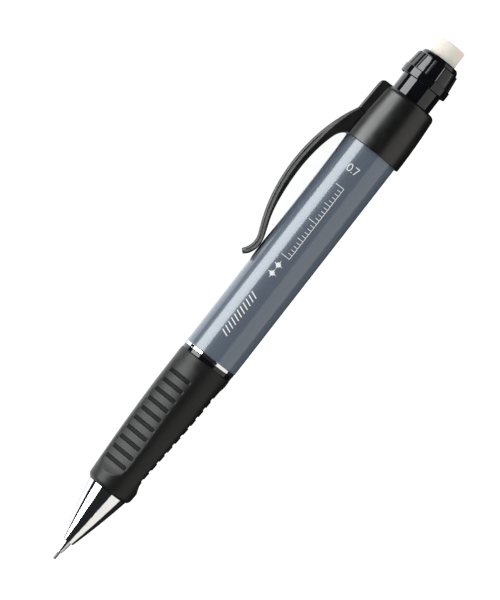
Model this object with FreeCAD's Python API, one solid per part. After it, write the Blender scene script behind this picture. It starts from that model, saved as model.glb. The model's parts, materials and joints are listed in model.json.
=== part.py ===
import FreeCAD, Part

# A 0.7 mm push-button mechanical pencil with a sliding metal tip, a soft ribbed grip, a pocket
# clip and a twist-out eraser. Every part is first made along the X axis, where x is the distance
# from the writing tip, called a station, with the clip upwards. place() then rolls it over, as a
# pencil left on a table rolls, until the clip's arm touches the surface too. In the part's own
# frame the origin is under the middle of the pencil on that surface, +X is towards the eraser,
# +Z is up and the clip points to +Y and a little down. All sizes are in millimetres.

import math
import os

from FreeCAD import Vector

# ---- driving dimensions -------------------------------------------------------------------

LENGTH = 147.75
CAP_RADIUS = 7.6
AXIS_HEIGHT = CAP_RADIUS
REST_TURN = -112.5

RUN_FIT = 0.02
SLIP_FIT = 0.08
THREAD_PITCH = 0.8

LEAD_RADIUS = 0.35
LEAD_LENGTH = 60.0
SPARE_LEADS = 3
SPARE_START = 40.0
SPARE_CIRCLE = 1.2

TIP_START = 1.85
TIP_SHANK_RADIUS = 1.0
TIP_FLANGE_START = 8.6
TIP_CUP_START = 9.4
TIP_CUP_END = 12.0
TIP_CUP_RADIUS = 1.9
RETAINER_RADIUS = 1.35
RETAINER_LENGTH = 2.2

CONE_START = 5.0
CONE_END = 19.8
CONE_FRONT_RADIUS = 1.5
CONE_REAR_RADIUS = 5.0
CONE_MID_STATION = 11.6
CONE_MID_RADIUS = 3.23
CONE_CAVITY_RADIUS = 2.0
CONE_CORNER = 0.18
CONE_SOCKET_START = 15.5

SLEEVE_FLANGE_END = 16.0
SLEEVE_FLANGE_RADIUS = 3.4
SLEEVE_LIP_END = 17.5
SLEEVE_LIP_RADIUS = 1.95
SLEEVE_SHOULDER_START = 20.9
SLEEVE_SHOULDER_END = 22.0
SLEEVE_SHOULDER_RADIUS = 1.4
SLEEVE_CHAMBER_RADIUS = 2.4
SLEEVE_RADIUS = 2.9
SLEEVE_END = 31.6

CHUCK_START = 18.0
CHUCK_HEAD_END = 20.8
CHUCK_END = 33.0
CHUCK_HEAD_RADIUS = 1.75
CHUCK_NECK_RADIUS = 1.3
CHUCK_SHAFT_RADIUS = 1.22
CHUCK_JAWS = 3
CHUCK_SLIT_WIDTH = 0.25
CHUCK_SLIT_END = 28.0
CLUTCH_RING_RADIUS = 2.3
CLUTCH_RING_START = 18.35

CONNECTOR_START = 31.0
CONNECTOR_RADIUS = 2.3
CONNECTOR_END = 39.0
FUNNEL_THROAT = 0.55
FUNNEL_MOUTH = 1.6
SPRING_WIRE_RADIUS = 0.18
SPRING_MEAN_RADIUS = 1.85
SPRING_COILS = 7

RESERVOIR_START = 34.5
RESERVOIR_END = 102.0
RESERVOIR_RADIUS = 2.5
RESERVOIR_BORE = 2.0

CORE_START = SLEEVE_FLANGE_END
CORE_BORE = 2.95
CORE_RADIUS = 4.3
CORE_FRONT_THREAD_RADIUS = 3.55
CORE_REAR_THREAD_RADIUS = 5.83
CORE_END = 68.0
COLLAR_START = 56.2
COLLAR_END = 57.2
COLLAR_RADIUS = 6.7

GRIP_FRONT_RADIUS = 5.7
GRIP_REAR_RADIUS = 6.7
GRIP_CORNER = 1.2
GRIP_CURVE = [(21.0, 5.78), (22.5, 5.86), (26.4, 6.07), (34.3, 6.45), (41.0, 6.66), (48.0, 6.78),
              (55.6, 6.77)]
GRIP_PANEL_ANGLES = [28.0, 148.0, 268.0]
GRIP_PANEL_AXIS = [(19.0, 17.6), (57.0, 0.6)]
GRIP_PANEL_CURVE = [(21.9, 7.1), (22.95, 6.0), (24.1, 5.47), (25.2, 5.18), (26.8, 5.16),
                    (30.0, 5.35), (34.3, 5.62), (41.0, 6.04), (46.0, 6.26), (52.5, 6.46),
                    (54.4, 6.8), (55.2, 7.3)]
GRIP_SLOTS = 10
GRIP_SLOT_FIRST = 26.32
GRIP_SLOT_PITCH = 2.683
GRIP_SLOT_WIDTH = 0.9
GRIP_SLOT_LENGTH = 6.8
GRIP_SLOT_DEPTH = 0.24

RING_END = 58.05
RING_RADIUS = 6.75

BARREL_RADIUS = 6.82
BARREL_BORE = 5.9
BARREL_TAIL_RADIUS = 6.3
BARREL_END = 122.5

CAP_START = 117.2
CAP_END = 131.85
CAP_CURVE = [(121.0, 7.57), (124.5, 7.44), (128.0, 7.23), (CAP_END, 6.92)]
CAP_REAR_CORNER = 1.15
CAP_LINER_RADIUS = 5.9
CAP_NECK_START = 128.0

SPINE_TOP_FRONT = 8.42
SPINE_TOP_REAR = 8.12
SPINE_HALF_WIDTH = 3.95
SPINE_EDGE = 0.5
SPINE_REAR_CORNER = 1.2

CLIP_ROOT = 123.4
CLIP_SEAM = 0.05
CLIP_TIP = 81.02
CLIP_HALF_WIDTH_ROOT = SPINE_HALF_WIDTH
CLIP_HALF_WIDTH_TIP = 2.6
CLIP_STEP = 0.45
CLIP_DOME_HEIGHT = 1.0
CLIP_DOME_EDGE = 0.6
CLIP_PLATE_EDGE = 0.18
CLIP_DOME_CORNER = 1.3
CLIP_PLATE_CORNER = 1.6
CLIP_DOME_HEIGHT_ROOT = 0.12
CLIP_DOME_FADE = 112.0
CLIP_OUTER = [(81.95, 9.72), (83.2, 8.88), (84.3, 8.54), (85.7, 8.48), (87.7, 9.15),
              (91.1, 10.52), (98.0, 12.25), (104.5, 12.78), (111.6, 12.27), (118.4, 10.58),
              (CLIP_ROOT, SPINE_TOP_FRONT)]
CLIP_INNER = [(CAP_START, 7.2), (116.1, 8.25), (114.2, 9.05), (108.8, 10.1), (103.0, 10.36),
              (97.4, 9.95), (91.7, 8.87), (88.0, 7.54), (86.4, 7.05), (84.8, 6.88), (83.3, 7.13),
              (82.2, 7.63), (CLIP_TIP, 8.79)]
CLIP_WEB_BOTTOM = 5.0

TUBE_RADIUS = 5.17
TUBE_BORE = 4.75
TUBE_START = 99.0
TUBE_END = 136.25
SOCKET_START = 96.0
SOCKET_RADIUS = 3.1
WEB_THICKNESS = 1.2

ERASER_RADIUS = 3.475
ERASER_LENGTH = 24.0
CARRIER_RADIUS = 3.85
CARRIER_FLOOR = 2.5
CARRIER_GRIP = 5.6
STUD_RADIUS = 0.5
STUD_REACH = 4.62
ERASER_RETRACT = 4.5
ERASER_ADVANCE = 12.0
SPIRAL_PITCH = 12.0
SLOT_PLAY = 0.1

LINER_BORE = 4.3
LINER_RADIUS = 4.72
LINER_START = 115.5
DRIVE_RADIUS = 4.26
DRIVE_BORE = 3.93
DRIVE_LIP_RADIUS = 4.68
DRIVE_LIP = 0.8

KNOB_START = 136.3
KNOB_COLLAR_END = 138.4
KNOB_COLLAR_RADIUS = 6.12
KNOB_COLLAR_CORNER = 0.2
KNOB_BODY_END = 142.2
KNOB_END = 143.5
KNOB_FRONT_RADIUS = 5.9
KNOB_REAR_RADIUS = 5.44
KNOB_RIM_CURVE = [(142.45, 4.94), (142.85, 4.82), (143.2, 4.68), (KNOB_END, 4.35)]
KNOB_RIBS = 12
KNOB_RIB_RADIUS = 0.3
KNOB_RIB_HEIGHT = 0.26
KNOB_FIRST_RIB = 19.0
KNOB_LIP_START = 142.4

# ---- shape helpers ------------------------------------------------------------------------


def turned(*steps):
    """A solid turned about the X axis. A step is a corner (station, radius), or a list of such
    points that a smooth curve passes through, starting from the last point before it."""
    edges = []
    here = steps[0]
    for step in steps[1:] + (steps[0],):
        if isinstance(step, list):
            points = [Vector(x, 0, r) for x, r in [here] + step]
            curve = Part.BSplineCurve()
            curve.interpolate(points)
            edges.append(curve.toShape())
            here = step[-1]
        elif step != here:
            edges.append(Part.makeLine(Vector(here[0], 0, here[1]), Vector(step[0], 0, step[1])))
            here = step
    face = Part.Face(Part.Wire(edges))
    return face.revolve(Vector(0, 0, 0), Vector(1, 0, 0), 360)


def tube(start, end, radius, bore):
    return turned((start, bore), (start, radius), (end, radius), (end, bore))


def rod(start, end, radius, edge=0.0):
    return turned((start, 0), (start, radius - edge), (start + edge, radius),
                  (end - edge, radius), (end, radius - edge), (end, 0))


def rim_edges(shape, station, radius):
    """The circular edges of a turned shape at one station and radius."""
    found = []
    for edge in shape.Edges:
        curve = edge.Curve
        if isinstance(curve, Part.Circle) and abs(curve.Radius - radius) < 0.01:
            if abs(edge.BoundBox.Center.x - station) < 0.01:
                found.append(edge)
    return found


def rounded_rims(shape, size, *rims):
    """Rounds the turned edges that stand at the given (station, radius) places."""
    edges = []
    for station, radius in rims:
        edges += rim_edges(shape, station, radius)
    return shape.makeFillet(size, edges)


def thread_ridges(start, end, crest):
    """Corner points of ring ridges that stand in for a fine thread, from start to end."""
    count = int((end - start) / THREAD_PITCH)
    root = crest - THREAD_PITCH * 0.4
    points = []
    for k in range(count):
        x = start + k * THREAD_PITCH
        points += [(x, root), (x + THREAD_PITCH * 0.5, crest)]
    return points + [(start + count * THREAD_PITCH, root)]


def turn_about_axis(shape, degrees):
    return shape.copy().rotate(Vector(0, 0, 0), Vector(1, 0, 0), degrees)


def smooth_edge(points):
    curve = Part.BSplineCurve()
    curve.interpolate([Vector(x, 0, z) for x, z in points])
    return curve.toShape()


def rest_shift():
    """The move that puts the origin under the middle, between the clip's arm and the cap."""
    arm = turn_about_axis(clip_arm(), REST_TURN)
    reach = arm.optimalBoundingBox().YMax
    return Vector(-LENGTH / 2, (CAP_RADIUS - reach) / 2, AXIS_HEIGHT)


def place(shape, shift):
    """Moves a finished shape from its stations into the part's own frame."""
    moved = turn_about_axis(shape, REST_TURN)
    moved.translate(shift)
    return moved


# ---- writing end --------------------------------------------------------------------------


def lead():
    return rod(0, LEAD_LENGTH, LEAD_RADIUS, 0.06)


def spare_leads():
    leads = []
    for k in range(SPARE_LEADS):
        stick = rod(SPARE_START, SPARE_START + LEAD_LENGTH, LEAD_RADIUS, 0.06)
        stick.translate(Vector(0, 0, SPARE_CIRCLE))
        leads.append(turn_about_axis(stick, 30 + 360 * k / SPARE_LEADS))
    return Part.makeCompound(leads)


def sliding_tip():
    """The fine cone that steadies the lead and slides back into the nose, with a cup inside."""
    bore = LEAD_RADIUS + 2 * RUN_FIT
    body = turned((TIP_START, bore), (TIP_START, 0.48), (TIP_START + 0.1, 0.56), (2.95, 0.8),
                  (4.0, 0.96), (4.4, TIP_SHANK_RADIUS), (TIP_FLANGE_START, TIP_SHANK_RADIUS),
                  (TIP_FLANGE_START, TIP_CUP_RADIUS), (TIP_CUP_END, TIP_CUP_RADIUS),
                  (TIP_CUP_END, RETAINER_RADIUS), (TIP_CUP_START, RETAINER_RADIUS),
                  (TIP_CUP_START, bore))
    return body


def lead_retainer():
    """The small rubber bush in the tip that keeps the lead from sliding back or falling out."""
    bush = tube(TIP_CUP_START, TIP_CUP_START + RETAINER_LENGTH, RETAINER_RADIUS,
                LEAD_RADIUS + RUN_FIT)
    return rounded_rims(bush, 0.2, (TIP_CUP_START + RETAINER_LENGTH, RETAINER_RADIUS))


def nose_cone():
    curve = [(CONE_MID_STATION, CONE_MID_RADIUS), (CONE_END, CONE_REAR_RADIUS)]
    socket = CORE_FRONT_THREAD_RADIUS + RUN_FIT
    hole = TIP_SHANK_RADIUS + SLIP_FIT
    body = turned((CONE_START, hole), (CONE_START, CONE_FRONT_RADIUS), curve,
                  (CONE_END, socket), (CONE_SOCKET_START, socket),
                  (CONE_SOCKET_START, CONE_CAVITY_RADIUS),
                  (TIP_FLANGE_START, CONE_CAVITY_RADIUS), (TIP_FLANGE_START, hole))
    return rounded_rims(body, CONE_CORNER, (CONE_START, CONE_FRONT_RADIUS))


# ---- clutch mechanism ---------------------------------------------------------------------


def mechanism_sleeve():
    """The brass sleeve held between nose and core, where the clutch ring and spring sit."""
    return turned((CONE_SOCKET_START, SLEEVE_LIP_RADIUS),
                  (CONE_SOCKET_START, SLEEVE_FLANGE_RADIUS),
                  (SLEEVE_FLANGE_END, SLEEVE_FLANGE_RADIUS), (SLEEVE_FLANGE_END, SLEEVE_RADIUS),
                  (SLEEVE_END, SLEEVE_RADIUS), (SLEEVE_END, SLEEVE_CHAMBER_RADIUS),
                  (SLEEVE_SHOULDER_END, SLEEVE_CHAMBER_RADIUS),
                  (SLEEVE_SHOULDER_END, SLEEVE_SHOULDER_RADIUS),
                  (SLEEVE_SHOULDER_START, SLEEVE_SHOULDER_RADIUS),
                  (SLEEVE_SHOULDER_START, SLEEVE_CHAMBER_RADIUS),
                  (SLEEVE_LIP_END, SLEEVE_CHAMBER_RADIUS), (SLEEVE_LIP_END, SLEEVE_LIP_RADIUS))


def chuck():
    """A brass collet: three jaws with a tapered head, split by slits from its front."""
    bore = LEAD_RADIUS + RUN_FIT
    body = turned((CHUCK_START, bore), (CHUCK_START, CHUCK_HEAD_RADIUS - 0.2),
                  (CHUCK_START + 0.3, CHUCK_HEAD_RADIUS), (CHUCK_HEAD_END, CHUCK_NECK_RADIUS),
                  (CHUCK_HEAD_END, CHUCK_SHAFT_RADIUS), (CHUCK_END, CHUCK_SHAFT_RADIUS),
                  (CHUCK_END, bore))
    for k in range(CHUCK_JAWS):
        slit = Part.makeBox(CHUCK_SLIT_END - CHUCK_START + 1, CHUCK_SLIT_WIDTH, CHUCK_HEAD_RADIUS + 1,
                            Vector(CHUCK_START - 1, -CHUCK_SLIT_WIDTH / 2, 0))
        body = body.cut(turn_about_axis(slit, 360 * k / CHUCK_JAWS))
    return body


def clutch_ring():
    """The ring that the chuck's head wedges into, which squeezes the jaws on the lead."""
    taper = (CHUCK_HEAD_RADIUS - CHUCK_NECK_RADIUS) / (CHUCK_HEAD_END - CHUCK_START - 0.3)
    front = CHUCK_HEAD_RADIUS - taper * (CLUTCH_RING_START - CHUCK_START - 0.3) + RUN_FIT
    rear = CHUCK_NECK_RADIUS + RUN_FIT
    return turned((CLUTCH_RING_START, front), (CLUTCH_RING_START, CLUTCH_RING_RADIUS - 0.15),
                  (CLUTCH_RING_START + 0.15, CLUTCH_RING_RADIUS),
                  (CHUCK_HEAD_END, CLUTCH_RING_RADIUS), (CHUCK_HEAD_END, rear))


def chuck_spring():
    """A compression spring that fills the space from the sleeve's shoulder to the connector."""
    ends = SPRING_WIRE_RADIUS + RUN_FIT
    height = CONNECTOR_START - SLEEVE_SHOULDER_END - 2 * ends
    helix = Part.makeHelix(height / SPRING_COILS, height, SPRING_MEAN_RADIUS)
    section = Part.Wire([Part.makeCircle(SPRING_WIRE_RADIUS, Vector(SPRING_MEAN_RADIUS, 0, 0),
                                         Vector(0, 1, 0))])
    coil = Part.Wire(helix).makePipeShell([section], True, True)
    coil.rotate(Vector(0, 0, 0), Vector(0, 1, 0), 90)
    coil.translate(Vector(SLEEVE_SHOULDER_END + ends, 0, 0))
    return coil


def chuck_connector():
    """The plastic plug that joins the chuck's tail to the reservoir and seats the spring."""
    return turned((CONNECTOR_START, CHUCK_SHAFT_RADIUS), (CONNECTOR_START, CONNECTOR_RADIUS),
                  (RESERVOIR_START, CONNECTOR_RADIUS), (RESERVOIR_START, RESERVOIR_BORE),
                  (CONNECTOR_END, RESERVOIR_BORE), (CONNECTOR_END, FUNNEL_MOUTH),
                  (CHUCK_END + 1.0, FUNNEL_THROAT), (CHUCK_END, FUNNEL_THROAT),
                  (CHUCK_END, CHUCK_SHAFT_RADIUS))


def lead_reservoir():
    return tube(RESERVOIR_START, RESERVOIR_END, RESERVOIR_RADIUS, RESERVOIR_BORE)


# ---- grip section -------------------------------------------------------------------------


def grip_core():
    """The stiff core under the rubber, with a thread each end and the collar behind the rubber."""
    front = thread_ridges(CORE_START + 0.4, CONE_END - 0.3, CORE_FRONT_THREAD_RADIUS)
    rear = thread_ridges(RING_END + 0.6, CORE_END - 0.4, CORE_REAR_THREAD_RADIUS)
    root = front[0][1]
    body = turned((CORE_START, CORE_BORE), (CORE_START, root), *front, (CONE_END, root),
                  (CONE_END, CORE_RADIUS), (COLLAR_START, CORE_RADIUS),
                  (COLLAR_START, COLLAR_RADIUS), (COLLAR_END, COLLAR_RADIUS),
                  (COLLAR_END, CORE_REAR_THREAD_RADIUS), (RING_END, CORE_REAR_THREAD_RADIUS),
                  (RING_END, rear[0][1]), *rear, (CORE_END, rear[0][1]), (CORE_END, CORE_BORE))
    return rounded_rims(body, 0.15, (COLLAR_START, COLLAR_RADIUS), (COLLAR_END, COLLAR_RADIUS))


def panel_axis_depth(station):
    """How far below the pencil's axis the panels' own axis of turning is at a station."""
    (x0, d0), (x1, d1) = GRIP_PANEL_AXIS
    return d0 + (d1 - d0) * (station - x0) / (x1 - x0)


def grip_panel():
    """The body that trims one panel of the rubber. It is turned about an axis below the pencil's
    own, which rises to the rear, so the panel is nearly flat in front and crowned behind. It
    has a steep scoop at its front and faces +Z."""
    ends = [Vector(x, 0, -depth) for x, depth in GRIP_PANEL_AXIS]
    curve = smooth_edge(GRIP_PANEL_CURVE)
    first, last = (Vector(x, 0, height) for x, height in (GRIP_PANEL_CURVE[0], GRIP_PANEL_CURVE[-1]))
    front, rear = Vector(ends[0].x, 0, first.z), Vector(ends[1].x, 0, last.z)
    lines = [Part.makeLine(ends[0], front), Part.makeLine(front, first), curve,
             Part.makeLine(last, rear), Part.makeLine(rear, ends[1]), Part.makeLine(ends[1], ends[0])]
    return Part.Face(Part.Wire(lines)).revolve(ends[0], ends[1] - ends[0], 360)


def panel_height(station):
    """Distance of the panel from the pencil's axis at a station, between the curve's points."""
    for (x0, d0), (x1, d1) in zip(GRIP_PANEL_CURVE, GRIP_PANEL_CURVE[1:]):
        if x0 <= station <= x1:
            return d0 + (d1 - d0) * (station - x0) / (x1 - x0)
    raise ValueError("this station is outside the panel")


def grip_slot(station):
    """The tool that cuts one round-ended slot across a panel that faces +Z, to an even depth."""
    half = GRIP_SLOT_WIDTH / 2
    reach = GRIP_SLOT_LENGTH / 2 - half
    bottom, top = 3.0, 9.0
    tool = Part.makeBox(GRIP_SLOT_WIDTH, 2 * reach, top - bottom,
                        Vector(station - half, -reach, bottom))
    for side in (-1, 1):
        tool = tool.fuse(Part.makeCylinder(half, top - bottom, Vector(station, side * reach, bottom)))
    depth = panel_axis_depth(station)
    floor = rod(station - 2, station + 2, depth + panel_height(station) - GRIP_SLOT_DEPTH)
    floor.translate(Vector(0, 0, -depth))
    return tool.removeSplitter().cut(floor)


def rubber_grip():
    body = turned((CONE_END, CORE_RADIUS), (CONE_END, GRIP_FRONT_RADIUS), GRIP_CURVE,
                  (COLLAR_START, GRIP_REAR_RADIUS), (COLLAR_START, CORE_RADIUS))
    body = rounded_rims(body, GRIP_CORNER, (CONE_END, GRIP_FRONT_RADIUS))
    panel = grip_panel()
    slots = [grip_slot(GRIP_SLOT_FIRST + k * GRIP_SLOT_PITCH) for k in range(GRIP_SLOTS)]
    cutter = Part.makeCompound(slots)
    for angle in GRIP_PANEL_ANGLES:
        body = body.common(turn_about_axis(panel, angle - 90))
    for angle in GRIP_PANEL_ANGLES:
        body = body.cut(turn_about_axis(cutter, angle - 90))
    return body


def trim_ring():
    ring = tube(COLLAR_END, RING_END, RING_RADIUS, CORE_REAR_THREAD_RADIUS)
    return rounded_rims(ring, 0.12, (COLLAR_END, RING_RADIUS), (RING_END, RING_RADIUS))


# ---- barrel, cap and clip -----------------------------------------------------------------


def barrel():
    body = turned((RING_END, BARREL_BORE), (RING_END, BARREL_RADIUS), (CAP_START, BARREL_RADIUS),
                  (CAP_START, BARREL_TAIL_RADIUS), (BARREL_END, BARREL_TAIL_RADIUS),
                  (BARREL_END, BARREL_BORE))
    return rounded_rims(body, 0.22, (RING_END, BARREL_RADIUS))


def cap_outside(extra):
    """The cap's turned outside as a filled solid, grown by extra."""
    curve = [(x, r + extra) for x, r in CAP_CURVE]
    return turned((CAP_START, 0), (CAP_START, CAP_RADIUS + extra), curve, (CAP_END, 0))


def cap_spine():
    """The raised block along the cap's back, behind the root of the clip's arm."""
    front = CLIP_ROOT + CLIP_SEAM
    side = Part.makePolygon([Vector(front, 0, 5), Vector(front, 0, SPINE_TOP_FRONT),
                             Vector(CAP_END, 0, SPINE_TOP_REAR), Vector(CAP_END, 0, 5),
                             Vector(front, 0, 5)])
    block = Part.Face(side).extrude(Vector(0, 2 * SPINE_HALF_WIDTH, 0))
    block.translate(Vector(0, -SPINE_HALF_WIDTH, 0))
    rear = [e for e in block.Edges if e.BoundBox.ZMin > 8 and e.BoundBox.XMin > CAP_END - 0.01]
    block = block.makeFillet(SPINE_REAR_CORNER, rear)
    sides = [e for e in block.Edges if e.BoundBox.ZMin > 8 and e.BoundBox.XLength > 5]
    return block.makeFillet(SPINE_EDGE, [e for e in sides if e.BoundBox.YLength < 0.01])


def clip_cap():
    body = rounded_rims(cap_outside(0), CAP_REAR_CORNER, (CAP_END, CAP_CURVE[-1][1]))
    body = rounded_rims(body, 0.25, (CAP_START, CAP_RADIUS))
    body = body.fuse(cap_spine())
    inside = turned((CAP_START - 1, 0), (CAP_START - 1, BARREL_TAIL_RADIUS + RUN_FIT),
                    (BARREL_END, BARREL_TAIL_RADIUS + RUN_FIT), (BARREL_END, CAP_LINER_RADIUS),
                    (CAP_NECK_START, CAP_LINER_RADIUS), (CAP_NECK_START, TUBE_RADIUS + SLIP_FIT),
                    (CAP_END + 1, TUBE_RADIUS + SLIP_FIT), (CAP_END + 1, 0))
    return body.cut(inside)


def clip_layer(outer, half_root, half_tip, corner):
    """One layer of the arm: its side outline across Y, trimmed to a width that narrows from root
    to a tip with rounded corners."""
    inner = CLIP_INNER
    top = smooth_edge(outer)
    bottom = smooth_edge(inner)
    tip = Part.makeLine(Vector(inner[-1][0], 0, inner[-1][1]), Vector(outer[0][0], 0, outer[0][1]))
    web = Part.makePolygon([Vector(CLIP_ROOT, 0, outer[-1][1]),
                            Vector(CLIP_ROOT, 0, CLIP_WEB_BOTTOM),
                            Vector(CAP_START, 0, CLIP_WEB_BOTTOM),
                            Vector(inner[0][0], 0, inner[0][1])])
    side = Part.Face(Part.Wire([tip, top] + web.Edges + [bottom]))
    slab = side.extrude(Vector(0, 12, 0))
    slab.translate(Vector(0, -6, 0))
    plan = Part.makePolygon([Vector(CLIP_TIP, -half_tip, 0), Vector(CLIP_ROOT, -half_root, 0),
                             Vector(CLIP_ROOT, half_root, 0), Vector(CLIP_TIP, half_tip, 0),
                             Vector(CLIP_TIP, -half_tip, 0)])
    block = Part.Face(plan).extrude(Vector(0, 0, 20))
    corners = [e for e in block.Edges if e.BoundBox.XMax < CLIP_TIP + 0.01 and e.BoundBox.ZLength > 1]
    return slab.common(block.makeFillet(corner, corners))


def top_edges(shape, min_length):
    """The long edges of an arm layer where its top meets its sides."""
    found = []
    for edge in shape.Edges:
        box = edge.BoundBox
        if box.XLength > min_length and abs(box.Center.y) > 1 and box.ZMax > 11.5:
            found.append(edge)
    return found


def clip_arm():
    """The sprung arm: a plate with a narrower domed rib on it, which fades out at the root, and
    a tip that turns up."""
    dome = clip_layer(CLIP_OUTER, CLIP_HALF_WIDTH_ROOT - CLIP_STEP,
                      CLIP_HALF_WIDTH_TIP - CLIP_STEP, CLIP_DOME_CORNER)
    dome = dome.makeFillet(CLIP_DOME_EDGE, top_edges(dome, 20))
    fade = (CLIP_DOME_HEIGHT - CLIP_DOME_HEIGHT_ROOT) / (CLIP_ROOT - CLIP_DOME_FADE)
    lowered = [(x, z - CLIP_DOME_HEIGHT + fade * max(0, x - CLIP_DOME_FADE)) for x, z in CLIP_OUTER]
    plate = clip_layer(lowered, CLIP_HALF_WIDTH_ROOT, CLIP_HALF_WIDTH_TIP, CLIP_PLATE_CORNER)
    plate = plate.makeChamfer(CLIP_PLATE_EDGE, top_edges(plate, 20))
    arm = plate.fuse(dome)
    return arm.cut(cap_outside(CLIP_SEAM))


# ---- eraser unit --------------------------------------------------------------------------


def stud_station():
    return LENGTH - ERASER_LENGTH - CARRIER_FLOOR / 2


def slot_span():
    """First and last station of the studs' travel."""
    return stud_station() - ERASER_RETRACT, stud_station() + ERASER_ADVANCE


def push_tube():
    """The push button's tube, with a front socket that plugs onto the reservoir."""
    socket = RESERVOIR_RADIUS + RUN_FIT
    web_end = RESERVOIR_END + WEB_THICKNESS
    return turned((RESERVOIR_END, 0), (RESERVOIR_END, socket), (SOCKET_START, socket),
                  (SOCKET_START, SOCKET_RADIUS), (TUBE_START + 1, SOCKET_RADIUS),
                  (TUBE_START + 1, TUBE_RADIUS - 0.5), (TUBE_START + 1.5, TUBE_RADIUS),
                  (TUBE_END, TUBE_RADIUS), (TUBE_END, TUBE_BORE), (web_end, TUBE_BORE),
                  (web_end, 0))


def spiral_slot():
    """The tool that cuts one helical slot through the liner's wall."""
    first, last = slot_span()
    width = 2 * (STUD_RADIUS + SLOT_PLAY) / math.cos(math.atan2(SPIRAL_PITCH, math.tau * LINER_BORE))
    mid = (LINER_BORE + LINER_RADIUS) / 2
    low, high = LINER_BORE - 0.2, LINER_RADIUS + 0.2
    helix = Part.makeHelix(SPIRAL_PITCH, last - first, mid)
    section = Part.makePolygon([Vector(low, 0, -width / 2), Vector(high, 0, -width / 2),
                                Vector(high, 0, width / 2), Vector(low, 0, width / 2),
                                Vector(low, 0, -width / 2)])
    return Part.Wire(helix).makePipeShell([section], True, True)


def spiral_liner():
    """The fixed tube whose two helical slots drive the carrier's studs along."""
    first, last = slot_span()
    body = tube(LINER_START, TUBE_END, LINER_RADIUS, LINER_BORE)
    for k in range(2):
        slot = spiral_slot()
        slot.rotate(Vector(0, 0, 0), Vector(1, 1, 1), 120)
        slot.translate(Vector(first, 0, 0))
        start_angle = 180 * k - 360 * (stud_station() - first) / SPIRAL_PITCH
        slot = turn_about_axis(slot, start_angle)
        for x in (first, last):
            end = Part.makeCylinder(STUD_RADIUS + SLOT_PLAY, LINER_RADIUS + 1, Vector(x, 0, 0),
                                    Vector(0, 1, 0))
            turn = 180 * k + 360 * (x - stud_station()) / SPIRAL_PITCH
            body = body.cut(turn_about_axis(end, turn))
        body = body.cut(slot)
    return body


def drive_tube():
    """The tube that turns with the knob; its two straight slots turn the carrier."""
    first, last = slot_span()
    half = STUD_RADIUS + SLOT_PLAY
    start = LINER_START - DRIVE_LIP
    body = turned((start, DRIVE_BORE), (start, DRIVE_LIP_RADIUS),
                  (LINER_START - RUN_FIT, DRIVE_LIP_RADIUS), (LINER_START - RUN_FIT, DRIVE_RADIUS),
                  (KNOB_LIP_START, DRIVE_RADIUS), (KNOB_LIP_START, DRIVE_BORE))
    slot = Part.makeBox(last - first, 12, 2 * half, Vector(first, -6, -half))
    for x in (first, last):
        slot = slot.fuse(Part.makeCylinder(half, 12, Vector(x, -6, 0), Vector(0, 1, 0)))
    return body.cut(slot)


def twist_knob():
    """The ribbed knob that turns the drive tube and is pressed to feed the lead."""
    front = KNOB_FRONT_RADIUS - KNOB_RIB_HEIGHT
    rear = KNOB_REAR_RADIUS - KNOB_RIB_HEIGHT
    body = turned((KNOB_START, DRIVE_RADIUS), (KNOB_START, KNOB_COLLAR_RADIUS),
                  (KNOB_COLLAR_END, KNOB_COLLAR_RADIUS), (KNOB_COLLAR_END, front),
                  (KNOB_BODY_END, rear), *KNOB_RIM_CURVE,
                  (KNOB_END, ERASER_RADIUS + SLIP_FIT), (KNOB_LIP_START, ERASER_RADIUS + SLIP_FIT),
                  (KNOB_LIP_START, DRIVE_RADIUS))
    body = rounded_rims(body, KNOB_COLLAR_CORNER, (KNOB_START, KNOB_COLLAR_RADIUS),
                        (KNOB_COLLAR_END, KNOB_COLLAR_RADIUS))
    start = Vector(KNOB_COLLAR_END, 0, KNOB_FRONT_RADIUS - KNOB_RIB_RADIUS)
    along = Vector(KNOB_BODY_END, 0, KNOB_REAR_RADIUS - KNOB_RIB_RADIUS) - start
    start = start - along * 0.1
    rib = Part.makeCylinder(KNOB_RIB_RADIUS, along.Length * 1.1, start, along)
    ribs = [turn_about_axis(rib, KNOB_FIRST_RIB - 90 + 360 * k / KNOB_RIBS)
            for k in range(KNOB_RIBS)]
    return body.multiFuse(ribs).removeSplitter()


def eraser_carrier():
    """The cup that grips the eraser, with a stud each side that rides in both slots."""
    floor = LENGTH - ERASER_LENGTH
    body = turned((floor - CARRIER_FLOOR, 0), (floor - CARRIER_FLOOR, CARRIER_RADIUS),
                  (floor + CARRIER_GRIP, CARRIER_RADIUS), (floor + CARRIER_GRIP, ERASER_RADIUS),
                  (floor, ERASER_RADIUS), (floor, 0))
    stud = Part.makeCylinder(STUD_RADIUS, 2 * STUD_REACH, Vector(stud_station(), -STUD_REACH, 0),
                             Vector(0, 1, 0))
    return body.fuse(stud)


def eraser():
    body = rod(LENGTH - ERASER_LENGTH, LENGTH, ERASER_RADIUS)
    return rounded_rims(body, 0.35, (LENGTH, ERASER_RADIUS))


# ---- one STEP file for each part ----------------------------------------------------------

PARTS = [lead, spare_leads, sliding_tip, lead_retainer, nose_cone, mechanism_sleeve, chuck,
         clutch_ring, chuck_spring, chuck_connector, lead_reservoir, grip_core, rubber_grip,
         trim_ring, barrel, clip_cap, clip_arm, push_tube, spiral_liner, drive_tube, twist_knob,
         eraser_carrier, eraser]

os.makedirs("parts", exist_ok=True)
shift = rest_shift()
print(f"the axis is at y {shift.y:.4f}, z {shift.z:.4f}")
for make in PARTS:
    solid = place(make(), shift)
    solid.exportStep("parts/" + make.__name__ + ".step")
    box = solid.BoundBox
    print(f"{make.__name__:18s} solids {len(solid.Solids)} valid {solid.isValid()}"
          f" volume {solid.Volume:9.2f} x {box.XMin:7.2f} {box.XMax:7.2f}"
          f" y {box.YMin:6.2f} {box.YMax:6.2f} z {box.ZMin:6.2f} {box.ZMax:6.2f}")
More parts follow.
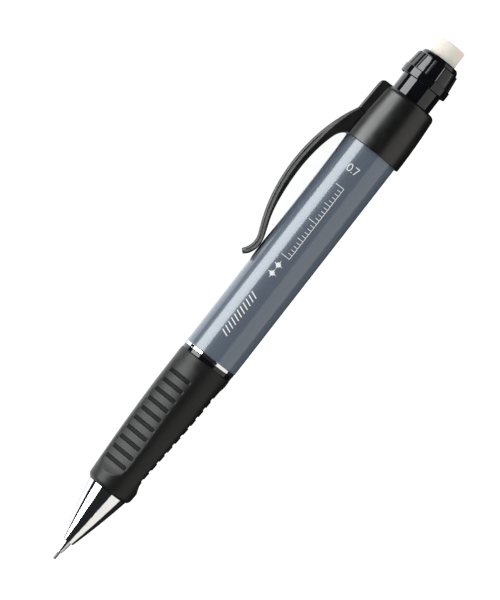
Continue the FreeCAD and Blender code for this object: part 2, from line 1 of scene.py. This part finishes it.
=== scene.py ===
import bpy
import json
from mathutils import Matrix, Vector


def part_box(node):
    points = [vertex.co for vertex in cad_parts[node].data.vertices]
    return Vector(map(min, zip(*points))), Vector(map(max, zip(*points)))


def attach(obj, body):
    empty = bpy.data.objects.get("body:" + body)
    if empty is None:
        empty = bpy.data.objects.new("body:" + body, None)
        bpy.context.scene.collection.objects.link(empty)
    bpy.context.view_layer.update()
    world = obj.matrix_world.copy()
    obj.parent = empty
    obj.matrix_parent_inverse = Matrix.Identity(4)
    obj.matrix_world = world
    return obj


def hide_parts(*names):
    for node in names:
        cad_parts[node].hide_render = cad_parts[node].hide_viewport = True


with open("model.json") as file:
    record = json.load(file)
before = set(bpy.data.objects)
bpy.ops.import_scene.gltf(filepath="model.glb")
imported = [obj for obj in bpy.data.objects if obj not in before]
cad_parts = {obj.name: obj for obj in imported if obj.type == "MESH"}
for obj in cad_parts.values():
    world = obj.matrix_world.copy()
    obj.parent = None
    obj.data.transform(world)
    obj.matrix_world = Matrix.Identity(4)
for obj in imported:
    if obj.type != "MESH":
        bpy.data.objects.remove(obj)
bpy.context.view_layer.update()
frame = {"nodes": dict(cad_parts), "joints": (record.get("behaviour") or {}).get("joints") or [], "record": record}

import json
import math

import bpy
from mathutils import Matrix, Vector

# ---- the pencil's own directions ----------------------------------------------------------
# Sizes are in millimetres and are turned into metres by MM. A station is the distance along the
# pencil from its writing tip. The pencil lies on its side with the clip towards CLIPWARD, and
# the camera stands on the FACING side.

MM = 0.001
JOINTS = {joint["name"]: joint for joint in frame["joints"]}
ALONG = Vector((1, 0, 0))
ACROSS = Vector(JOINTS["clip_flex"]["axis"]).normalized()
CLIPWARD = ALONG.cross(ACROSS)
FACING = -ACROSS
TIP_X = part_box("lead")[0].x
AXIS_Y, AXIS_Z = JOINTS["knob_twist"]["pos_m"][1:]


def spot(station, clipward=0.0, facing=0.0):
    """A point from its station and its distances from the axis, all in millimetres."""
    on_axis = Vector((TIP_X + station * MM, AXIS_Y, AXIS_Z))
    return on_axis + CLIPWARD * clipward * MM + FACING * facing * MM


def around(station, radius, angle):
    """A point on a circle about the axis; the angle is from the camera's side towards the clip."""
    return spot(station, radius * math.sin(angle), radius * math.cos(angle))


# ---- node materials -----------------------------------------------------------------------
# Noise and cell scales are per millimetre along X, Y and Z. A low scale along X gives streaks
# that run along the pencil.

MIX_COLOUR_A, MIX_COLOUR_B = 6, 7
MIX_COLOUR_RESULT = 2
BEVEL_SAMPLES = 6


class Nodes:
    """A short way to build one material's node tree around a Principled BSDF."""

    def __init__(self, name):
        self.material = bpy.data.materials.new(name)
        self.material.use_nodes = True
        self.tree = self.material.node_tree
        self.shader = next(n for n in self.tree.nodes if n.type == "BSDF_PRINCIPLED")
        coordinates = self.new("ShaderNodeTexCoord")
        self.place = coordinates.outputs["Object"]

    def new(self, kind, **settings):
        node = self.tree.nodes.new(kind)
        for key, value in settings.items():
            setattr(node, key, value)
        return node

    def link(self, a, b):
        self.tree.links.new(a, b)

    def mapped(self, scale):
        """Object coordinates times a scale, which is per millimetre."""
        node = self.new("ShaderNodeMapping")
        node.inputs["Scale"].default_value = [s / MM for s in scale]
        self.link(self.place, node.inputs["Vector"])
        return node.outputs["Vector"]

    def noise(self, scale, detail=3.0, roughness=0.55):
        """Noise with features of about 1/scale millimetres along X, Y and Z."""
        node = self.new("ShaderNodeTexNoise")
        node.inputs["Scale"].default_value = 1.0
        node.inputs["Detail"].default_value = detail
        node.inputs["Roughness"].default_value = roughness
        self.link(self.mapped(scale), node.inputs["Vector"])
        return node.outputs["Fac"]

    def stored(self, name):
        """A value stored at the mesh's points, or 0 where the mesh has none of that name."""
        return self.new("ShaderNodeAttribute", attribute_name=name).outputs["Fac"]

    def cells(self, scale):
        """The distance to the nearest of some scattered points, for specks and lint."""
        node = self.new("ShaderNodeTexVoronoi")
        node.inputs["Scale"].default_value = 1.0
        self.link(self.mapped(scale), node.inputs["Vector"])
        return node.outputs["Distance"]

    def spread(self, value, low, high, to_low=0.0, to_high=1.0):
        """The value's range from low to high, stretched smoothly over another range."""
        node = self.new("ShaderNodeMapRange", interpolation_type="SMOOTHSTEP")
        limits = {"From Min": low, "From Max": high, "To Min": to_low, "To Max": to_high}
        for name, number in limits.items():
            node.inputs[name].default_value = number
        self.link(value, node.inputs["Value"])
        return node.outputs["Result"]

    def calculated(self, operation, a, b):
        """A math node on two values, each a number or a socket."""
        node = self.new("ShaderNodeMath", operation=operation)
        for socket, value in zip(node.inputs, (a, b)):
            if isinstance(value, (int, float)):
                socket.default_value = value
            else:
                self.link(value, socket)
        return node.outputs["Value"]

    def mix(self, factor, a, b):
        """Colour a where the factor is 0, colour b where it is 1. Each is a tuple or a socket."""
        node = self.new("ShaderNodeMix", data_type="RGBA")
        self.link(factor, node.inputs["Factor"])
        for socket, value in ((node.inputs[MIX_COLOUR_A], a), (node.inputs[MIX_COLOUR_B], b)):
            if isinstance(value, tuple):
                socket.default_value = (*value, 1.0)
            else:
                self.link(value, socket)
        return node.outputs[MIX_COLOUR_RESULT]

    def bump(self, height, depth, strength=1.0, edge=0.0):
        """A bump of that depth in millimetres, over edges rounded by a radius if one is given."""
        node = self.new("ShaderNodeBump")
        node.inputs["Strength"].default_value = strength
        node.inputs["Distance"].default_value = depth * MM
        self.link(height, node.inputs["Height"])
        if edge:
            bevel = self.new("ShaderNodeBevel", samples=BEVEL_SAMPLES)
            bevel.inputs["Radius"].default_value = edge * MM
            self.link(bevel.outputs["Normal"], node.inputs["Normal"])
        self.link(node.outputs["Normal"], self.shader.inputs["Normal"])

    def set(self, **values):
        """Constants go on the shader's own sockets; a socket from another node is linked."""
        for key, value in values.items():
            socket = self.shader.inputs[key.replace("_", " ")]
            if isinstance(value, bpy.types.NodeSocket):
                self.link(value, socket)
            elif isinstance(value, tuple):
                socket.default_value = (*value, 1.0) if len(socket.default_value) == 4 else value
            else:
                socket.default_value = value


def barrel_lacquer():
    """Blue-grey lacquer: faint flow marks along the tube, fine grain, wipe marks in the gloss."""
    m = Nodes("barrel_lacquer")
    flow = m.spread(m.noise((0.02, 0.35, 0.35), 4), 0.3, 0.7)
    grain = m.spread(m.noise((9, 9, 9), 2), 0.3, 0.7)
    tone = m.mix(flow, (0.105, 0.133, 0.172), (0.119, 0.149, 0.190))
    speck = m.mix(grain, (0.096, 0.122, 0.158), tone)
    wipes = m.noise((0.15, 5, 5), 5, 0.7)
    m.set(Base_Color=speck, Roughness=m.spread(wipes, 0.35, 0.75, 0.24, 0.33), IOR=1.5,
          Specular_Tint=(0.86, 0.93, 1.0), Coat_Weight=0.75, Coat_Roughness=0.05)
    m.bump(m.noise((0.8, 1.4, 1.4), 2), 0.003)
    return m.material


def satin_moulding(name, tone, gloss, edge):
    """Black satin plastic with a fine spark-eroded grain and slightly polished patches."""
    m = Nodes(name)
    grain = m.noise((7, 7, 7), 3)
    patch = m.noise((0.25, 0.4, 0.4), 3)
    colour = m.mix(m.spread(patch, 0.3, 0.7), (tone, tone, tone * 1.06),
                   (tone * 1.5, tone * 1.5, tone * 1.5))
    rough = m.calculated("ADD", m.spread(patch, 0.3, 0.75, gloss, gloss + 0.07),
                         m.spread(grain, 0.3, 0.7, -0.02, 0.02))
    m.set(Base_Color=colour, Roughness=rough, IOR=1.55)
    m.bump(grain, 0.006, 0.5, edge=edge)
    return m.material


def gloss_moulding():
    """High-gloss black plastic with hairline scratches that only show in its reflections."""
    m = Nodes("gloss_moulding")
    hairs = m.spread(m.noise((0.5, 14, 14), 4, 0.75), 0.62, 0.74)
    dust = m.spread(m.cells((1.6, 1.6, 1.6)), 0.02, 0.07, 1.0, 0.0)
    marks = m.calculated("MAXIMUM", hairs, dust)
    m.set(Base_Color=m.mix(marks, (0.0042, 0.0044, 0.006), (0.02, 0.02, 0.021)),
          Roughness=m.spread(marks, 0.0, 1.0, 0.035, 0.16), IOR=1.52)
    m.bump(m.noise((0.7, 0.7, 0.7), 2), 0.003, 1.0, edge=0.07)
    return m.material


RECESS = "recess"


def soft_rubber():
    """Matt black rubber: a fine open grain, paler on the worn high spots, with a little lint,
    and painted shade in its slots, where its reflections are turned down."""
    m = Nodes("soft_rubber")
    grain = m.noise((6.5, 6.5, 6.5), 4, 0.65)
    bloom = m.noise((0.22, 0.3, 0.3), 4)
    recess = m.stored(RECESS)
    tone = m.mix(m.spread(bloom, 0.3, 0.7), (0.0055, 0.0055, 0.0060), (0.0080, 0.0080, 0.0078))
    worn = m.mix(m.spread(grain, 0.42, 0.78), tone, (0.012, 0.012, 0.012))
    lint = m.spread(m.cells((0.9, 2.2, 2.2)), 0.012, 0.03, 1.0, 0.0)
    # Painted shade: the specular level drops from 0.33 to 0.07 in the slots, where the recess value is 1.
    m.set(Base_Color=m.mix(lint, worn, (0.05, 0.05, 0.048)),
          Roughness=m.spread(grain, 0.3, 0.7, 0.37, 0.47), IOR=1.45,
          Specular_IOR_Level=m.spread(recess, 0.0, 1.0, 0.33, 0.07))
    m.bump(grain, 0.015, 0.6)
    return m.material


def bright_chrome():
    """Chrome plate: mirror-like, with turning lines round it and a faint finger smear."""
    m = Nodes("bright_chrome")
    lines = m.noise((11, 0.15, 0.15), 3)
    smear = m.spread(m.noise((0.3, 0.3, 0.3), 4), 0.5, 0.72)
    m.set(Base_Color=m.mix(smear, (0.87, 0.87, 0.875), (0.82, 0.82, 0.82)), Metallic=1.0,
          Specular_Tint=(0.40, 0.41, 0.42), Roughness=m.spread(smear, 0.0, 1.0, 0.06, 0.1))
    m.bump(lines, 0.0004, 1.0, edge=0.06)
    return m.material


def turned_metal(name, dark, light, rough):
    """Turned metal: fine rings left by the tool, a little uneven in colour and gloss."""
    m = Nodes(name)
    rings = m.noise((16, 0.2, 0.2), 4, 0.7)
    stain = m.noise((0.5, 0.5, 0.5), 4)
    m.set(Base_Color=m.mix(m.spread(stain, 0.3, 0.7), dark, light), Metallic=1.0,
          Roughness=m.spread(rings, 0.3, 0.7, rough, rough + 0.12))
    m.bump(rings, 0.003, 1.0, edge=0.04)
    return m.material


def graphite_stick():
    """Graphite: dark grey with a metallic shimmer along its extruded streaks."""
    m = Nodes("graphite_stick")
    streak = m.noise((1.2, 18, 18), 4, 0.7)
    m.set(Base_Color=m.mix(m.spread(streak, 0.3, 0.7), (0.085, 0.085, 0.09), (0.21, 0.21, 0.215)),
          Metallic=0.55, Roughness=m.spread(streak, 0.3, 0.7, 0.28, 0.45))
    m.bump(streak, 0.006)
    return m.material


def inner_moulding(name, low, high, through, rough):
    """Uncoloured plastic of the inner parts: cloudy, slightly see-through where it is thin."""
    m = Nodes(name)
    cloud = m.noise((0.5, 0.8, 0.8), 4)
    scuffs = m.noise((0.7, 7, 7), 4, 0.7)
    m.set(Base_Color=m.mix(m.spread(cloud, 0.3, 0.7), low, high),
          Roughness=m.spread(scuffs, 0.35, 0.7, rough, rough + 0.15), IOR=1.49,
          Transmission_Weight=through, Subsurface_Weight=0.15, Subsurface_Scale=0.6 * MM)
    m.bump(scuffs, 0.004, 0.6)
    return m.material


def vinyl_eraser():
    """Off-white vinyl: chalky and finely pored, with a trace of graphite in the pores."""
    m = Nodes("vinyl_eraser")
    pores = m.noise((5, 5, 5), 5, 0.7)
    cloud = m.noise((0.35, 0.35, 0.35), 3)
    base = m.mix(m.spread(cloud, 0.3, 0.7), (0.79, 0.77, 0.70), (0.83, 0.81, 0.74))
    m.set(Base_Color=m.mix(m.spread(pores, 0.63, 0.8), base, (0.62, 0.60, 0.55)),
          Roughness=m.spread(pores, 0.3, 0.7, 0.6, 0.78), IOR=1.45,
          Subsurface_Weight=0.6, Subsurface_Scale=1.6 * MM)
    m.bump(pores, 0.02, 0.5)
    return m.material


def white_ink():
    """Pad-printed white ink, thin enough for a few pinholes to show."""
    m = Nodes("white_ink")
    pinholes = m.spread(m.noise((7, 7, 7), 3), 0.62, 0.72)
    m.set(Base_Color=m.mix(pinholes, (0.86, 0.87, 0.88), (0.45, 0.48, 0.52)),
          Roughness=m.spread(pinholes, 0.0, 1.0, 0.42, 0.6), IOR=1.5)
    m.bump(pinholes, 0.004)
    return m.material


RUBBER = soft_rubber()
FINISHES = {
    "graphite": graphite_stick(),
    "tip_steel": turned_metal("tip_steel", (0.55, 0.55, 0.56), (0.74, 0.74, 0.74), 0.10),
    "black_rubber": RUBBER,
    "chrome": bright_chrome(),
    "brass": turned_metal("brass", (0.62, 0.43, 0.18), (0.78, 0.60, 0.30), 0.16),
    "spring_steel": turned_metal("spring_steel", (0.42, 0.42, 0.43), (0.58, 0.58, 0.58), 0.2),
    "inner_plastic": inner_moulding("inner_plastic", (0.74, 0.74, 0.71), (0.84, 0.84, 0.82),
                                    0.0, 0.32),
    "reservoir_plastic": inner_moulding("reservoir_plastic", (0.70, 0.73, 0.76),
                                        (0.80, 0.82, 0.84), 0.35, 0.2),
    "gloss_black": gloss_moulding(),
    "grip_rubber": RUBBER,
    "barrel_grey": barrel_lacquer(),
    "satin_black": satin_moulding("satin_black", 0.0035, 0.31, 0.09),
    "clip_black": satin_moulding("clip_black", 0.0035, 0.30, 0.55),
    "eraser_vinyl": vinyl_eraser()}

SLOT_OF = {part["node"]: part["material_slot"] for part in frame["record"]["subparts"]}
for name, node in frame["nodes"].items():
    node.data.materials.clear()
    node.data.materials.append(FINISHES[SLOT_OF[name]])


def new_piece(name, points, faces, material, smooth=True):
    """A mesh object in the scene; its faces are wound so that they face outwards."""
    mesh = bpy.data.meshes.new(name)
    mesh.from_pydata(points, [], faces)
    mesh.validate()
    for face in mesh.polygons:
        face.use_smooth = smooth
    mesh.materials.append(material)
    piece = bpy.data.objects.new(name, mesh)
    bpy.context.scene.collection.objects.link(piece)
    return piece


# ---- rubber grip --------------------------------------------------------------------------
# The curves are lists of a station and a size there: the round body's radius, how far below the
# pencil's axis the panels' own axis of turning is, and the panels' crown above the pencil's axis.
# GRIP_ROWS has a first station, a spacing and a number of rows for each stretch of the mesh.

GRIP_START = 19.8
GRIP_END = 56.2
GRIP_BORE = 4.3
GRIP_CURVE = [(19.8, 4.54), (19.85, 4.88), (19.95, 5.12), (20.1, 5.33), (20.3, 5.51),
              (20.6, 5.67), (21.0, 5.78), (22.5, 5.86), (26.4, 6.07), (34.3, 6.45), (41.0, 6.66),
              (48.0, 6.78), (55.6, 6.77), (55.95, 6.74), (56.2, 6.64)]
PANEL_TURNS = [math.radians(a) for a in (32, -88, 152)]
PANEL_AXIS = [(19.0, 17.6), (57.0, 0.6)]
PANEL_CURVE = [(19.8, 11.0), (21.9, 7.1), (22.95, 6.0), (24.1, 5.47), (25.2, 5.18), (26.8, 5.16),
               (30.0, 5.35), (34.3, 5.62), (41.0, 6.04), (46.0, 6.26), (52.5, 6.46), (54.4, 6.8),
               (55.2, 7.3), (56.2, 8.3)]
PANEL_BLEND = 0.008
PANEL_REACH = math.radians(75)
SLOTS = 10
SLOT_FIRST = 26.32
SLOT_PITCH = 2.683
SLOT_HALF_WIDTH = 0.45
SLOT_HALF_LENGTH = 3.4
SLOT_DEPTH = 0.24
SLOT_WALL = 0.14
SLOT_FADE = 0.08
GRIP_STEPS_ROUND = 324
GRIP_ROWS = [(19.8, 0.02, 5), (19.9, 0.07, 12), (20.8, 0.28, 126), (55.7, 0.1, 6)]
WALL_ROWS_EACH_SIDE = 3
WALL_ROW_GAP = 0.035
LEAST_ROW_GAP = 0.018


def smooth_curve(points, x):
    """A curve through the points with no overshoot, by a monotone cubic."""
    if x <= points[0][0]:
        return points[0][1]
    if x >= points[-1][0]:
        return points[-1][1]
    k = max(i for i in range(len(points) - 1) if points[i][0] <= x)

    def chord(i):
        return (points[i][1] - points[i - 1][1]) / (points[i][0] - points[i - 1][0])

    def slope(i):
        if i == 0 or i == len(points) - 1:
            return chord(max(1, i))
        before, after = chord(i), chord(i + 1)
        return 0.0 if before * after <= 0 else 2 * before * after / (before + after)

    (x0, y0), (x1, y1) = points[k], points[k + 1]
    h = x1 - x0
    t = (x - x0) / h
    return (y0 * (1 + 2 * t) * (1 - t) ** 2 + slope(k) * h * t * (1 - t) ** 2
            + y1 * t * t * (3 - 2 * t) + slope(k + 1) * h * t * t * (t - 1))


def ramp(value):
    """A smooth step from 0 to 1."""
    t = max(0.0, min(1.0, value))
    return t * t * (3 - 2 * t)


def slot_share(station, sideways):
    """1 on the floor of a cross slot, 0 outside it, with sloping walls and rounded ends."""
    k = max(0, min(SLOTS - 1, round((station - SLOT_FIRST) / SLOT_PITCH)))
    dx = station - (SLOT_FIRST + k * SLOT_PITCH)
    dy = max(0.0, abs(sideways) - (SLOT_HALF_LENGTH - SLOT_HALF_WIDTH))
    inside = SLOT_HALF_WIDTH - math.hypot(dx, dy)
    return ramp(inside / SLOT_WALL + 0.5)


def panel_axis_depth(station):
    (x0, d0), (x1, d1) = PANEL_AXIS
    return d0 + (d1 - d0) * (station - x0) / (x1 - x0)


def grip_surface(station, angle, body, panel):
    """The grip's outer radius at a point, and how far into a slot the point is, from 0 to 1. The
    round body is cut by three crowned panels with slots."""
    radius = body
    recess = 0.0
    depth = panel_axis_depth(station)
    for turn in PANEL_TURNS:
        off = math.atan2(math.sin(angle - turn), math.cos(angle - turn))
        reach = (depth + panel) ** 2 - (depth * math.sin(off)) ** 2
        if abs(off) > PANEL_REACH or reach <= 0:
            continue
        gap = radius - (math.sqrt(reach) - depth * math.cos(off))
        radius -= 0.5 * (gap + math.sqrt(gap * gap + PANEL_BLEND))
        sunk = ramp(gap / SLOT_FADE + 0.5) * slot_share(station, radius * math.sin(off))
        radius -= SLOT_DEPTH * sunk
        recess = max(recess, sunk)
    return radius, recess


def grip_stations():
    """Close together at the slots' walls and the rounded ends, wider elsewhere."""
    found = [start + gap * k for start, gap, rows in GRIP_ROWS for k in range(rows)]
    for k in range(SLOTS):
        for side in (-1, 1):
            wall = SLOT_FIRST + k * SLOT_PITCH + side * SLOT_HALF_WIDTH
            found += [wall + WALL_ROW_GAP * j
                      for j in range(-WALL_ROWS_EACH_SIDE, WALL_ROWS_EACH_SIDE + 1)]
    found = sorted(x for x in found if GRIP_START <= x <= GRIP_END) + [GRIP_END]
    kept = [found[0]]
    for x in found[1:]:
        if x - kept[-1] > LEAST_ROW_GAP:
            kept.append(x)
    kept[-1] = GRIP_END
    return kept


def make_grip():
    """The sleeve as rings of points: the bore's front edge, the outside from front to rear, and
    the bore's rear edge. The last ring joins the first, and so makes the bore."""
    n = GRIP_STEPS_ROUND
    turns = [2 * math.pi * k / n for k in range(n)]
    rings = [[around(GRIP_START, GRIP_BORE, a) for a in turns]]
    recesses = [0.0] * n
    for x in grip_stations():
        body = smooth_curve(GRIP_CURVE, x)
        panel = smooth_curve(PANEL_CURVE, x)
        row = [grip_surface(x, a, body, panel) for a in turns]
        rings.append([around(x, radius, a) for a, (radius, recess) in zip(turns, row)])
        recesses += [recess for radius, recess in row]
    rings.append([around(GRIP_END, GRIP_BORE, a) for a in turns])
    recesses += [0.0] * n
    faces = []
    for i in range(len(rings)):
        j = (i + 1) % len(rings)
        for k in range(n):
            faces.append((i * n + k, j * n + k, j * n + (k + 1) % n, i * n + (k + 1) % n))
    piece = new_piece("grip_sleeve", [p for ring in rings for p in ring], faces, RUBBER)
    values = piece.data.attributes.new(RECESS, "FLOAT", "POINT")
    values.data.foreach_set("value", recesses)
    return piece


grip = make_grip()
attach(grip, "barrel_body")
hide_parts("rubber_grip")

# ---- marks printed on the barrel ----------------------------------------------------------
# A drafting scale, two small compass roses, a row of slanted bars and the lead size. Each mark
# is a thin shape with four corners laid round the barrel: x is a station, y is the distance round
# the barrel from the line that faces the camera, towards the clip. A point of a rose is given by
# its length and by how far its two side corners are from the centre. The zero's centre and half
# sizes, and the other strokes' ends and widths, are measured from SIZE_PLACE.

BARREL_RADIUS = 6.82
INK_TOP = 0.012
INK_STEP = 0.35
RING_STEPS = 28

SCALE = (86.4, 106.4)
SCALE_BASE = -0.3
SCALE_PITCH = 1.0
SCALE_HEIGHTS = (1.05, 1.6, 2.25)
SCALE_LINE = 0.13

ROSES = [(81.6, 0.9), (83.9, 0.9)]
ROSE_POINTS = 8
ROSE_SIZE = 1.2
ROSE_RING = 0.42 * ROSE_SIZE
ROSE_RING_LINE = 0.13
ROSE_LONG_POINT = (ROSE_SIZE, 0.20 * ROSE_SIZE)
ROSE_SHORT_POINT = (0.62 * ROSE_SIZE, 0.13 * ROSE_SIZE)
ROSE_WAIST_TURN = 1.2

BARS = 11
BAR_START = (64.15, 0.2)
BAR_END = (64.85, 2.0)
BAR_PITCH = 1.07
BAR_WIDTH = 0.26

SIZE_PLACE = (111.2, 0.7)
SIZE_ZERO = (0.0, 0.98, 0.86, 0.5)
SIZE_STROKE = 0.19
SIZE_STROKES = [(-0.88, 0.08, -0.66, 0.08, 0.22), (0.80, -0.14, 0.80, -1.28, SIZE_STROKE),
                (0.86, -1.2, -0.94, -0.62, SIZE_STROKE)]


def bar(x0, y0, x1, y1, width):
    """The corners of a straight mark, clockwise as seen from outside, as in every mark."""
    length = math.hypot(x1 - x0, y1 - y0)
    nx, ny = -(y1 - y0) / length * width / 2, (x1 - x0) / length * width / 2
    return [(x0 + nx, y0 + ny), (x1 + nx, y1 + ny), (x1 - nx, y1 - ny), (x0 - nx, y0 - ny)]


def ring_marks(x, y, rx, ry, width):
    """An oval line as short bars."""
    turns = [2 * math.pi * k / RING_STEPS for k in range(RING_STEPS + 1)]
    stops = [(x + rx * math.cos(a), y + ry * math.sin(a)) for a in turns]
    return [bar(*stops[k], *stops[k + 1], width) for k in range(RING_STEPS)]


def scale_marks():
    """A graduated edge: a base line with a longer mark at every fifth and tenth place."""
    start, end = SCALE
    short, middle, long = SCALE_HEIGHTS
    half = SCALE_LINE / 2
    marks = [bar(start - half, SCALE_BASE, end + half, SCALE_BASE, SCALE_LINE)]
    for k in range(int(round((end - start) / SCALE_PITCH)) + 1):
        x = start + k * SCALE_PITCH
        height = long if k % 10 == 0 else middle if k % 5 == 0 else short
        marks.append(bar(x, SCALE_BASE, x, SCALE_BASE + height, SCALE_LINE))
    return marks


def rose_marks(x, y):
    """A compass rose: tapering points, long and short by turns, and a ring."""

    def polar(radius, turn):
        return x + radius * math.cos(turn), y + radius * math.sin(turn)

    marks = ring_marks(x, y, ROSE_RING, ROSE_RING, ROSE_RING_LINE)
    for k in range(ROSE_POINTS):
        turn = 2 * math.pi * k / ROSE_POINTS
        reach, half = ROSE_LONG_POINT if k % 2 == 0 else ROSE_SHORT_POINT
        marks.append([polar(reach, turn), polar(half, turn - ROSE_WAIST_TURN), (x, y),
                      polar(half, turn + ROSE_WAIST_TURN)])
    return marks


def bar_marks():
    """A row of slanted bars."""
    (x0, y0), (x1, y1) = BAR_START, BAR_END
    return [bar(x0 + BAR_PITCH * k, y0, x1 + BAR_PITCH * k, y1, BAR_WIDTH) for k in range(BARS)]


def size_marks():
    """The lead size 0.7, read across the barrel from the clip's side down."""
    x, y = SIZE_PLACE
    dx, dy, rx, ry = SIZE_ZERO
    return ring_marks(x + dx, y + dy, rx, ry, SIZE_STROKE) + [
        bar(x + x0, y + y0, x + x1, y + y1, width) for x0, y0, x1, y1, width in SIZE_STROKES]


def make_marks(name, marks):
    """One piece of ink. Each mark is a closed slab, from just above the barrel's surface to just
    below it."""
    points, faces = [], []
    for corners in marks:
        outline = []
        for (x0, y0), (x1, y1) in zip(corners, corners[1:] + corners[:1]):
            parts = max(1, math.ceil(math.hypot(x1 - x0, y1 - y0) / INK_STEP))
            outline += [(x0 + (x1 - x0) * k / parts, y0 + (y1 - y0) * k / parts)
                        for k in range(parts)]
        first = len(points)
        count = len(outline)
        for height in (INK_TOP, -INK_TOP):
            points += [around(x, BARREL_RADIUS + height, y / BARREL_RADIUS) for x, y in outline]
        for k in range(count):
            n = (k + 1) % count
            faces.append((first + k, first + n, first + count + n, first + count + k))
        underside = strips(count, first + count)
        faces += underside
        faces += [tuple(v - count for v in reversed(face)) for face in underside]
    piece = new_piece(name, points, faces, INK, smooth=False)
    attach(piece, "barrel_body")


def strips(count, first):
    """Faces across an outline of that many points, so that a long mark bends with the barrel."""
    faces = []
    low, high = 0, count - 1
    while high - low > 2:
        faces.append((first + low, first + low + 1, first + high - 1, first + high))
        low, high = low + 1, high - 1
    if high - low == 2:
        faces.append((first + low, first + low + 1, first + high))
    return faces


INK = white_ink()
make_marks("scale_print", scale_marks())
make_marks("rose_print", [mark for x, y in ROSES for mark in rose_marks(x, y)])
make_marks("bar_print", bar_marks())
make_marks("size_print", size_marks())

# ---- floor, lights and camera -------------------------------------------------------------

LIGHT_LENGTH = 1.3
KEY_LENGTH = 0.46
PENCIL_MIDDLE = 74


def lamp(name, low, high, distance, station, radiance, colour, length=LIGHT_LENGTH, matt=False):
    """A soft box parallel to the pencil. It fills the angles from low to high about the axis, in
    degrees from the camera's side towards the clip. It either lights matt surfaces or shows in
    reflections. Its distance and length are in metres."""
    middle = math.radians((low + high) / 2)
    width = 2 * distance * math.tan(math.radians((high - low) / 2))
    data = bpy.data.lights.new(name, "AREA")
    data.shape = "RECTANGLE"
    data.size, data.size_y = length, width
    data.energy = radiance * math.pi * length * width
    data.color = colour
    light = bpy.data.objects.new(name, data)
    away = FACING * math.cos(middle) + CLIPWARD * math.sin(middle)
    turned = Matrix((ALONG, away.cross(ALONG), away)).transposed()
    light.matrix_world = Matrix.Translation(spot(station) + away * distance) @ turned.to_4x4()
    light.visible_diffuse = matt
    light.visible_glossy = not matt
    bpy.context.scene.collection.objects.link(light)


lamp("key_gloss", 38, 80, 0.34, 20, 7.7, (0.98, 0.99, 1.0), KEY_LENGTH)
lamp("key_matt", 38, 83, 0.34, 20, 1.7, (1.0, 1.0, 1.0), KEY_LENGTH, matt=True)
lamp("low_gloss", -97, -34, 0.30, PENCIL_MIDDLE, 0.95, (1.0, 0.98, 0.935))
lamp("back_gloss", 103, 178, 0.26, PENCIL_MIDDLE, 1.7, (0.95, 0.97, 1.0))

FLOOR_HALF = 1.5


def make_floor():
    corners = [(x * FLOOR_HALF, y * FLOOR_HALF, 0) for x, y in ((-1, -1), (1, -1), (1, 1), (-1, 1))]
    floor = new_piece("floor", corners, [(0, 1, 2, 3)], floor_paper(), smooth=False)
    floor.visible_glossy = False
    floor.visible_shadow = False


def floor_paper():
    """White paper that is bright by itself, so that only the deepest shadows show on it."""
    m = Nodes("floor_paper")
    fibre = m.noise((0.4, 0.4, 0.4), 3)
    m.set(Base_Color=m.mix(m.spread(fibre, 0.3, 0.7), (0.36, 0.36, 0.36), (0.40, 0.40, 0.40)),
          Roughness=1.0, Specular_IOR_Level=0.0, Emission_Color=(1.0, 1.0, 1.0),
          Emission_Strength=0.90)
    return m.material


make_floor()


def make_world():
    """White to the camera, a soft even light on matt surfaces, and nearly black in reflections."""
    world = bpy.data.worlds.new("studio")
    bpy.context.scene.world = world
    world.use_nodes = True
    tree = world.node_tree
    tree.nodes.clear()
    rays = tree.nodes.new("ShaderNodeLightPath")
    shader = None
    for ray, colour, strength in ((None, (0.9, 0.95, 1.0), 0.02),
                                  ("Is Diffuse Ray", (1.0, 0.99, 0.97), 0.75),
                                  ("Is Camera Ray", (1.0, 1.0, 1.0), 1.0)):
        glow = tree.nodes.new("ShaderNodeBackground")
        glow.inputs["Color"].default_value = (*colour, 1)
        glow.inputs["Strength"].default_value = strength
        if shader is None:
            shader = glow.outputs["Background"]
            continue
        choose = tree.nodes.new("ShaderNodeMixShader")
        tree.links.new(rays.outputs[ray], choose.inputs["Fac"])
        tree.links.new(shader, choose.inputs[1])
        tree.links.new(glow.outputs["Background"], choose.inputs[2])
        shader = choose.outputs["Shader"]
    out = tree.nodes.new("ShaderNodeOutputWorld")
    tree.links.new(shader, out.inputs["Surface"])


make_world()
bpy.context.scene.view_settings.view_transform = "Standard"

SENSOR = 36.0
CAMERA_DISTANCE = 850.0
CAMERA_RISE = math.radians(1.5)
CAMERA_ROLL = math.radians(52.13)
VIEW_HEIGHT = 136.36
VIEW_CENTRE = (73.74, 0.925)


def make_camera():
    """Nearly square to the pencil and the clip, rolled so that the tip is at the lower left."""
    data = bpy.data.cameras.new("camera")
    data.sensor_width = SENSOR
    data.lens = SENSOR * CAMERA_DISTANCE / VIEW_HEIGHT
    camera = bpy.data.objects.new("camera", data)
    bpy.context.scene.collection.objects.link(camera)
    back = FACING * math.cos(CAMERA_RISE) + CLIPWARD * math.sin(CAMERA_RISE)
    level = back.cross(ALONG)
    right = ALONG * math.cos(CAMERA_ROLL) - level * math.sin(CAMERA_ROLL)
    up = ALONG * math.sin(CAMERA_ROLL) + level * math.cos(CAMERA_ROLL)
    place = spot(*VIEW_CENTRE) + back * CAMERA_DISTANCE * MM
    axes = Matrix((right, up, back)).transposed()
    camera.matrix_world = Matrix.Translation(place) @ axes.to_4x4()
    bpy.context.scene.camera = camera


make_camera()
